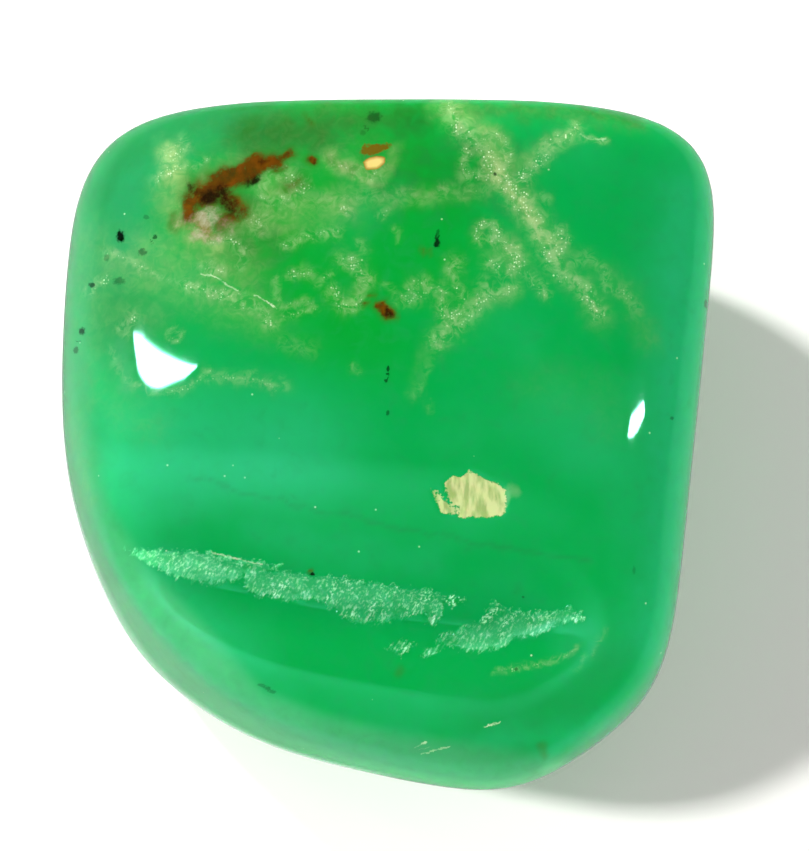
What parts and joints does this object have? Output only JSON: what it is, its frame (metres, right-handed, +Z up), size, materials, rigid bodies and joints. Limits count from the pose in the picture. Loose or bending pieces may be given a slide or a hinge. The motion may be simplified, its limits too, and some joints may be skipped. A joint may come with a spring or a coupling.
{
  "type": "tumbled stone",
  "caption": "Tumbled and polished pebble of green translucent chalcedony: a worn block with a flat top, a front slope and one rough hollow, to display or to hold.",
  "frame": {"origin": "under the middle of the stone, on the plane that it rests on", "axes": "+Z up from the rest spot to the plateau, +X to the viewer's right, +Y away from the viewer, towards the thick end"},
  "size_m": [0.0244, 0.0252, 0.0136],
  "materials": {
    "chrysoprase": "tumble polished, translucent, with one unpolished hollow"
  },
  "bodies": {
    "root": {"stone": "chrysoprase"}
  },
  "joints": []
}
